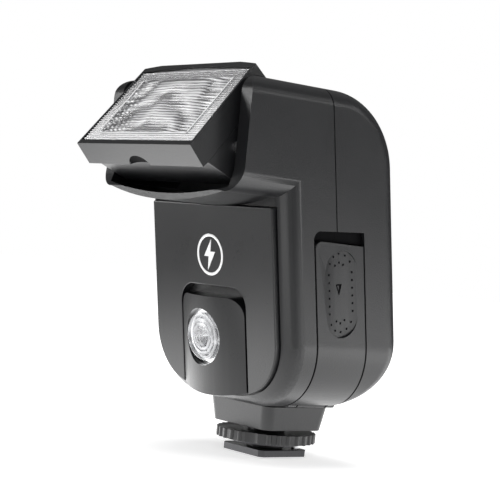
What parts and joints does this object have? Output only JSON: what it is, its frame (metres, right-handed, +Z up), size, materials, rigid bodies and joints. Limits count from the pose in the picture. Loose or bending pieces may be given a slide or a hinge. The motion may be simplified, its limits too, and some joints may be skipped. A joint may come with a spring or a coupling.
{
  "type": "camera flash unit",
  "caption": "Compact speedlight flash with a leaning body, a tilting lamp head, a hinged side battery door and a threaded clamping wheel over a hot-shoe foot.",
  "frame": {"origin": "centre of the hot-shoe foot plate's bottom face", "axes": "+Z up out of the shoe, -Y the way the light leaves with the head level, +X the battery-door side"},
  "size_m": [0.065, 0.0784, 0.1106],
  "materials": {
    "body_black": "fine satin texture",
    "panel_black": "smooth semi-gloss",
    "head_black": "satin",
    "control_black": "satin",
    "control_grey": "satin",
    "chart_face": null,
    "clear_dome": "clear moulded lens",
    "clear_lens": "clear fine-ribbed panel",
    "lamp_amber": "translucent",
    "bright_metal": "polished",
    "tube_glass": "clear",
    "steel": "plated",
    "foot_metal": "dark plated",
    "contact_metal": "plated",
    "cell_sleeve": "plain sleeve",
    "capacitor_sleeve": "shrink sleeve",
    "core_ferrite": "sintered",
    "coil_wire": "enamelled wire",
    "inner_black": "moulded",
    "board_green": "lacquered board",
    "sensor_dark": "dark die"
  },
  "bodies": {
    "body": {"front_shell": "body_black", "rear_shell": "body_black", "front_panel": "panel_black", "sensor_window": "panel_black", "sensor_reflector": "bright_metal", "sensor_lens": "clear_dome", "photocell": "sensor_dark", "door_guide": "inner_black", "cell_upper": "cell_sleeve", "cell_lower": "cell_sleeve", "cell_tray": "inner_black", "cell_contacts": "steel", "main_board": "board_green", "board_parts": "inner_black", "main_capacitor": "capacitor_sleeve", "capacitor_clip": "inner_black", "transformer": "core_ferrite", "trigger_coil": "coil_wire", "shell_screws": "steel", "exposure_chart": "chart_face", "switch_block": "inner_black", "button_switch": "inner_black", "ready_lamp": "lamp_amber", "pivot_pins": "steel", "foot_plate": "foot_metal", "stem_flange": "steel", "locating_post": "steel", "contact_spring": "steel", "contact_plug": "inner_black", "mount_block": "body_black", "block_screws": "steel"},
    "head": {"head_bezel": "head_black", "head_housing": "head_black", "fresnel_lens": "clear_lens", "reflector": "bright_metal", "flash_tube": "tube_glass", "tube_caps": "steel", "tube_board": "board_green", "head_screws": "steel"},
    "door_carriage": {"door_slider": "inner_black", "door_hinge_pin": "steel"},
    "door": {"battery_door": "body_black", "door_contact": "steel"},
    "power_switch": {"power_switch": "control_grey"},
    "test_button": {"test_button": "control_grey"},
    "contact": {"contact_pin": "contact_metal"},
    "washer": {"lock_washer": "foot_metal"},
    "wheel": {"lock_wheel": "control_black"}
  },
  "joints": [
    {"name": "head_tilt", "type": "hinge", "parent": "body", "child": "head", "pos_m": [0, -0.0415, 0.0862], "axis": [-1, 0, 0], "range_deg": [-39.5, 50.5]},
    {"name": "door_slide", "type": "slide", "parent": "body", "child": "door_carriage", "axis": [0, 0.1633, -0.9866], "range_m": [0, 0.0035]},
    {"name": "door_swing", "type": "hinge", "parent": "door_carriage", "child": "door", "pos_m": [0.0175, 0.0005, 0.0169], "axis": [0, 1, 0], "range_deg": [0, 90]},
    {"name": "power_switch_slide", "type": "slide", "parent": "body", "child": "power_switch", "axis": [1, 0, 0], "range_m": [0, 0.004]},
    {"name": "test_button_press", "type": "slide", "parent": "body", "child": "test_button", "axis": [0, -0.9866, -0.1633], "range_m": [0, 0.001], "stiffness_N_per_m": 400, "springref_m": -0.0005},
    {"name": "contact_press", "type": "slide", "parent": "body", "child": "contact", "axis": [0, 0, 1], "range_m": [0, 0.0006], "stiffness_N_per_m": 800, "springref_m": -0.0005, "deforming": ["contact_spring"]},
    {"name": "wheel_travel", "type": "slide", "parent": "body", "child": "washer", "axis": [0, 0, 1], "range_m": [-0.00061, 0.00121]},
    {"name": "wheel_turn", "type": "hinge", "parent": "washer", "child": "wheel", "pos_m": [0, 0, 0.0055], "axis": [0, 0, 1], "range_deg": [-216, 432]}
  ],
  "couplings": [
    {"joint": "wheel_travel", "follows": "wheel_turn", "m_per_rad": 0.00015915}
  ]
}
